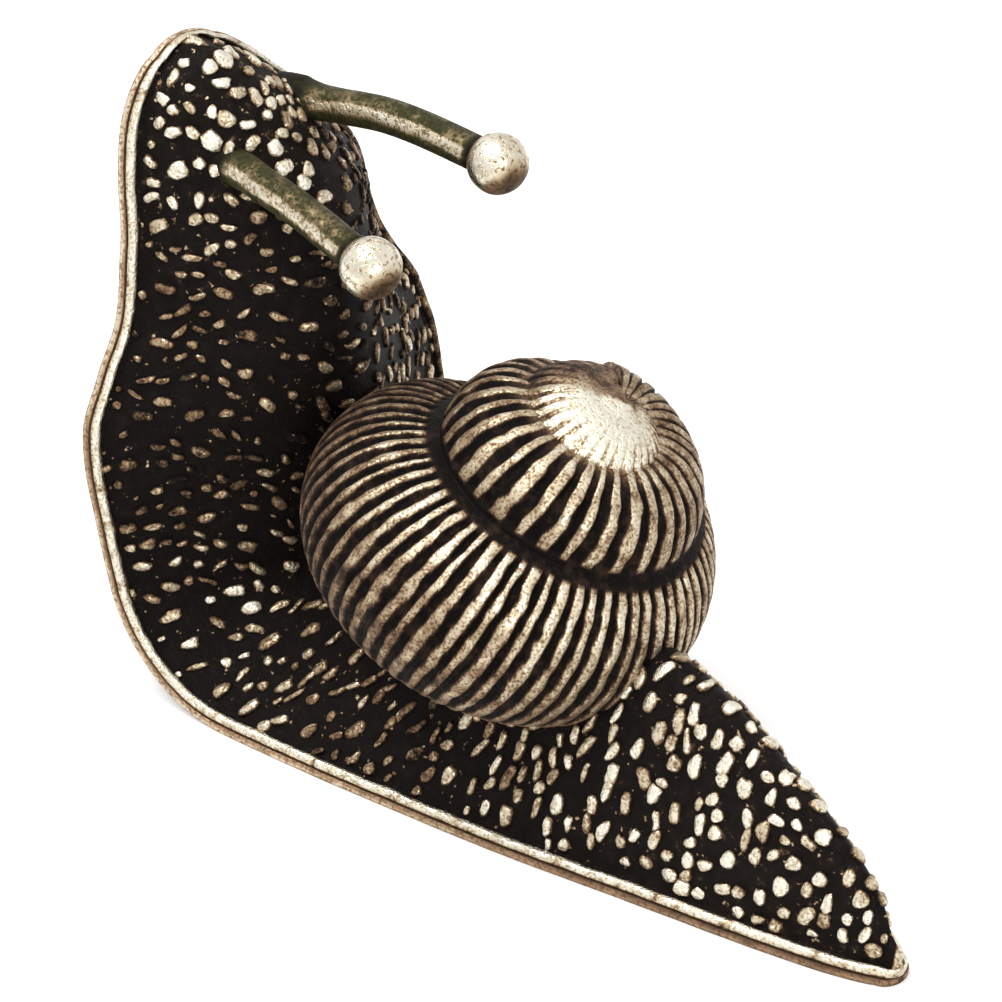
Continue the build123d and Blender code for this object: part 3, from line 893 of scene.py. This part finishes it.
def shellSheet():
    # smooth coil with rib phase, rib share, and polish with painted light and shade written on it
    c = shellCoil
    turn = c["mouthTurn"] + np.linspace(0, 1, c["steps"] + 1)
    last, spire, apex = whorl(turn, c["ribHigh"]), whorl(turn + 1, c["ribHigh"]), whorl(turn + 2, 0)
    upper, main = suturePoint(spire, apex), suturePoint(last, spire)
    low = radians(c["tubeTurnIn"])
    columns = []   # radius, height, share of the arc, angle round the tube, whorl

    def arc(ring, start, end, steps, kind):
        a = np.arctan2(start[1] - ring[1], start[0] - ring[0])
        b = np.arctan2(end[1] - ring[1], end[0] - ring[0])
        for k in range(steps):
            f = (1 - np.cos(pi * k / (steps - 1))) / 2 * 0.6 + k / (steps - 1) * 0.4
            w = a + (b - a) * f
            r, z = ring[0] + ring[2] * np.cos(w), ring[1] + ring[2] * np.sin(w)
            columns.append((r, z, f, w, kind))

    crest = apex[1] + apex[2]
    for k in range(c["capSteps"]):   # low dome from the axis out to the crest of the apex whorl
        f = k / c["capSteps"]
        columns.append((apex[0] * f, c["apexTop"] + (crest - c["apexTop"]) * f * f, 0.4 * f, pi / 2, 0))
    first = len(columns)
    arc(apex, (apex[0], crest), upper, c["apexSteps"], 0)
    for k in range(first, len(columns)):
        r, z, f, w, kind = columns[k]
        columns[k] = (r, z, 0.4 + 0.6 * f, w, kind)
    arc(spire, upper, main, c["spireSteps"], 1)
    under = (last[0] + last[2] * np.cos(low), last[1] - last[2] * np.sin(low))
    arc(last, main, under, c["lastSteps"], 2)
    for k in range(1, c["baseSteps"] + 1):
        f = k / c["baseSteps"]
        r, z = under[0] + (c["baseRadius"] - under[0]) * f, under[1] + (c["baseLow"] - under[1]) * f
        columns.append((r, z, f, -1, 3))
    columns.append((0 * turn + 0.05, 0 * turn + c["baseLow"], 1.0, -1, 3))
    axis = Vector(c["axis"]).normalized()
    ahead = Vector((-1, 0, 0))
    ahead = (ahead - axis * ahead.dot(axis)).normalized()
    side = axis.cross(ahead)
    spokes = np.cos(2 * pi * turn)[:, None] * np.array(ahead) + np.sin(2 * pi * turn)[:, None] * np.array(side)
    points, phase, share, rub, gap = [], [], [], [], []
    lastPhase = ribPhase(turn, c["ribsLast"], 0, c["seed"])
    spirePhase = ribPhase(turn, c["ribsSpire"], c["spireFirst"], c["seed"] + 1)
    for r, z, f, w, kind in columns:
        points.append(np.array(c["seat"]) + spokes * r[:, None] + np.array(axis) * z[:, None])
        u = turn + max(2 - kind, 0)
        gap.append(alongMarks(c["gapMarks"], u))
        # painted shade browns the lower half of each whorl; the polish marks hold polish together with painted
        # light and shade
        brown = alongMarks(c["lowerShadeMarks"], u) * blendStep(*c["lowerShadeFrom"], w)
        polishAndLight = alongMarks(c["polishAndLightMarks"], u) * (1 - brown)
        ribbed = alongMarks(c["ribMarks"], u)
        dip = 0 * turn
        if kind == 2:
            dip = dip + 1 - blendStep(*c["lastDip"], f)
            phase.append(lastPhase + c["lastWaver"] * np.sin(5 * f + 9 * turn))
            ribbed = ribbed * (1 - blendStep(0.9, 1.0, f))
        elif kind == 1:
            dip = dip + 1 - blendStep(*c["spireDip"], 1 - f)
            phase.append(spirePhase + c["spireWaver"] * np.sin(4 * f + 7 * turn))
            ribbed = ribbed * (0.30 + 0.70 * blendStep(0.0, 0.34, f))
        elif kind == 0:
            dip = np.exp(-((1 - f) / c["apexDipWide"]) ** 2) * c["apexDip"]
            dip = dip * blendStep(*c["apexDipZone"], np.abs(turn - c["apexDipZone"][1]))
            phase.append(spirePhase)
            ribbed = ribbed * blendStep(0.5, 1.0, f)
        else:
            phase.append(lastPhase)
            ribbed, polishAndLight = 0 * turn, 0 * turn + c["baseRub"]
        share.append(ribbed * (1 - dip))
        rub.append(polishAndLight * (1 - dip))
    grid = np.stack(points, 1)
    flat, shape = grid.reshape(-1, 3), grid.shape[:2]
    phase = np.stack(phase, 1) + c["ragged"] * roughNoise(flat, c["raggedScale"], 2).reshape(shape)
    gap = np.stack(gap, 1) * (1 + c["gapWander"] * roughNoise(flat, c["gapScale"], 3).reshape(shape))
    faces = cappedFaces(len(turn), len(columns), False)
    return makeObject("shellCast", flat, faces, {
        "phase": phase.ravel(), "share": np.stack(share, 1).ravel(), "rub": np.stack(rub, 1).ravel(),
        "gap": gap.ravel()})


ribCut = {
    "openSpan": 1.5, "grooveEnd": 0.96, "grooveFall": 0.8, "crownFall": 0.25,
    "stainSpan": 0.72, "stainEdge": 0.09, "stainShare": 1.6, "shoulderDull": 0.35,
}


def ribTree():
    tree, sockets, start = newTree("growthRibs", "Coil", (
        ("Rib depth", "Float"), ("Groove share", "Float"), ("Finish", "Material")), "Ribbed shell")
    share = named(tree, "share")

    def work(operation, a, b=None):
        return calc(tree, operation, a, b)

    def times(a, b):
        return calc(tree, "MULTIPLY", a, b)

    def without(a):
        return calc(tree, "SUBTRACT", 1.0, a)

    # distance from the middle of the rib, 0 to 1 at the groove's bottom
    apart = times(work("ABSOLUTE", work("SUBTRACT", work("FRACT", named(tree, "phase")), 0.5)), 2.0)
    opening = times(times(start.outputs["Groove share"], named(tree, "gap")), ribCut["openSpan"])
    groove = rangeOf(tree, apart, without(opening), ribCut["grooveEnd"])
    crown = work("POWER", apart, 2.0)
    deep = times(work("ADD", times(groove, ribCut["grooveFall"]), times(crown, ribCut["crownFall"])), share)
    inward = times(times(deep, start.outputs["Rib depth"]), -1.0)
    normal = tree.nodes.new("GeometryNodeInputNormal").outputs[0]
    shift = addNode(tree, "ShaderNodeVectorMath", {0: normal, "Scale": inward}, operation="SCALE")
    # black in the grooves, with a crisp edge
    edge = without(times(opening, ribCut["stainSpan"]))
    stain = rangeOf(tree, apart, work("SUBTRACT", edge, ribCut["stainEdge"]),
                    work("ADD", edge, ribCut["stainEdge"]))
    dark = without(times(stain, work("MINIMUM", times(share, ribCut["stainShare"]), 1.0)))
    shoulder = without(times(times(crown, share), ribCut["shoulderDull"]))
    storedWearAndLight = store(tree, start.outputs["Coil"], "rub", times(times(named(tree, "rub"), dark), shoulder))
    move = addNode(tree, "GeometryNodeSetPosition", {"Geometry": storedWearAndLight, "Offset": shift.outputs[0]})
    endTree(tree, move.outputs[0], start.outputs["Finish"])
    return tree, sockets


def settleOnBack(points):
    # draws the shell's underside up to just below the skin of the back
    s = np.clip(footLine["tailX"] - points[:, 0], *shellCoil["seatZone"])
    back = skinHeight(s, points[:, 1] - footShift(s), footWidth(s))
    points[:, 2] = np.maximum(points[:, 2], back - shellCoil["seatDepth"])
    return points


def makeShell():
    shell = shellSheet()
    outward(shell.data)
    tree, sockets = ribTree()
    applyTree(shell, tree, sockets, {
        "Rib depth": shellCoil["ribDeep"], "Groove share": shellCoil["grooveShare"], "Finish": shellFinish})
    mesh = evaluated(shell)
    for extra in ("phase", "share", "gap"):
        mesh.attributes.remove(mesh.attributes[extra])
    setPoints(mesh, settleOnBack(meshPoints(mesh)) * mm)
    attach(shell, "root")
    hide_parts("shell")


makeShell()
print("shell made")


# tentacles and eyes: copies of their solids, remeshed, worn, and given painted highlight and shade

tentacles = {
    "voxel": 0.13, "radius": 0.88, "flare": 0.30, "flareFrom": 0.6, "flareReach": 0.7, "flareEnd": 4,
    "wave": 0.05, "waveScale": 0.8, "brow": 66.5, "browShift": -1.2,
    "left": {"root": (0.4, -2.2, 3.2), "bow": (6.5, -0.4, -0.2), "reach": (12.0, -1.0, -0.6)},
    "right": {"root": (1.1, 3.5, 2.1), "bow": (6.6, 1.2, 1.1), "reach": (12.6, 1.9, 0.8)},
    # painted highlight line along the side and painted shade underneath, by how far the surface faces up
    "highlightUpper": (0.72, 0.54), "highlightLower": (-0.08, 0.14), "underShadeFrom": (0.05, -0.3),
    "tiltWave": 0.10, "tiltScale": 0.5,
    "plainRub": 0.36, "highlightRub": 0.54, "underShade": 0.10, "beadShade": (-1.35, -1.75), "rootShade": (0.9, 1.9),
}
eyes = {
    "voxel": 0.10, "wave": 0.05, "waveScale": 0.9, "beadRadius": 1.5, "bore": (0.75, 0.92),
    "backRub": 0.12, "frontRub": 0.80, "frontFrom": (-0.85, -0.40), "shadeRub": 0.20, "litSideRub": 0.74,
    "litSideTo": (0.80, 0.10), "slant": 0.707,
}


def remeshedCopy(nodeName, name, voxel):
    points = meshPoints(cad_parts[nodeName].data) / mm
    faces = [list(face.vertices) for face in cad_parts[nodeName].data.polygons]
    made = makeObject(name, points, faces)
    outward(made.data)
    modifier = made.modifiers.new("even", "REMESH")
    modifier.mode = "VOXEL"
    modifier.voxel_size = voxel
    modifier.use_smooth_shade = True
    smooth = made.modifiers.new("soft", "SMOOTH")
    smooth.factor = 0.5
    smooth.iterations = 3
    evaluated(made)
    return made


def tentacleRoot(side):
    along, across, high = tentacles[side]["root"]
    s = np.array([tentacles["brow"] + along])
    return footPoint(s, np.array([tentacles["browShift"] + across]), np.array([high]))[0]


def addRub(mesh, rub):
    mesh.attributes.new("rub", "FLOAT", "POINT").data.foreach_set("value", np.asarray(rub, dtype=np.float32))


def makeTentacle(side):
    rod = remeshedCopy(side + "_tentacle", side + "TentacleRod", tentacles["voxel"])
    points = meshPoints(rod.data)
    root = tentacleRoot(side)
    reach = np.array(tentacles[side]["reach"])
    bow = np.array(tentacles[side]["bow"])
    start = bow / np.linalg.norm(bow)
    way = (points - root) @ start
    spread = points - root - way[:, None] * start
    t = tentacles
    nearRoot = way < t["flareEnd"]
    flare = 1 + t["flare"] * np.exp(-np.maximum(way - t["flareFrom"], 0) / t["flareReach"]) * nearRoot
    points = root + way[:, None] * start + spread * flare[:, None]
    grain = roughNoise(points, t["waveScale"], 4)[:, None]
    points += grain * t["wave"] * spread / t["radius"] * nearRoot[:, None]
    setPoints(rod.data, points)
    normals = np.empty(len(rod.data.vertices) * 3, dtype=np.float32)
    rod.data.vertices.foreach_get("normal", normals)
    normals = normals.reshape(-1, 3)
    end = (points - root - reach) @ (reach - bow) / np.linalg.norm(reach - bow)
    tilt = normals[:, 2] + t["tiltWave"] * roughNoise(points, t["tiltScale"], 6)
    # painted highlight: a bright line where the side faces the camera, and painted shade on the underside
    highlightLine = blendStep(*t["highlightUpper"], tilt) * blendStep(*t["highlightLower"], tilt)
    lit = t["plainRub"] + t["highlightRub"] * highlightLine - t["underShade"] * blendStep(*t["underShadeFrom"], tilt)
    rub = lit * blendStep(*t["beadShade"], end) * blendStep(*t["rootShade"], way)
    addRub(rod.data, rub)
    toMetres(rod)
    rod.data.materials.append(rodFinish)
    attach(rod, "root")
    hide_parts(side + "_tentacle")


def makeEye(side):
    bead = remeshedCopy(side + "_eye", side + "EyeBead", eyes["voxel"])
    points = meshPoints(bead.data)
    reach = np.array(tentacles[side]["reach"])
    centre = tentacleRoot(side) + reach
    away = points - centre
    length = np.linalg.norm(away, axis=1)
    inner, outer = eyes["bore"]
    outside = blendStep(eyes["beadRadius"] * inner, eyes["beadRadius"] * outer, length)
    dent = np.minimum(roughNoise(points, eyes["waveScale"], 8), 0) * eyes["wave"] * outside
    setPoints(bead.data, points + away / np.maximum(length, 0.1)[:, None] * dent[:, None])
    finish = reach - np.array(tentacles[side]["bow"])
    finish = finish / np.linalg.norm(finish)
    facing = (away @ finish) / np.maximum(length, 0.1)
    front = eyes["backRub"] + eyes["frontRub"] * blendStep(*eyes["frontFrom"], facing)
    # painted light and shade: the upper side away from the tail is painted bright, the low side towards the tail
    # painted dark
    litSide = blendStep(*eyes["litSideTo"], (away[:, 0] - away[:, 2]) * eyes["slant"] / eyes["beadRadius"])
    rub = outside * front * (eyes["shadeRub"] + eyes["litSideRub"] * litSide)
    addRub(bead.data, rub)
    toMetres(bead)
    bead.data.materials.append(beadFinish)
    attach(bead, "root")
    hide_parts(side + "_eye")


for hand in ("left", "right"):
    makeTentacle(hand)
    makeEye(hand)
print("tentacles and eyes made")


# hidden pins keep their solids

for pin in ("front_shell_pin", "rear_shell_pin"):
    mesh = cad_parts[pin].data
    mesh.materials.clear()
    mesh.materials.append(pinFinish)
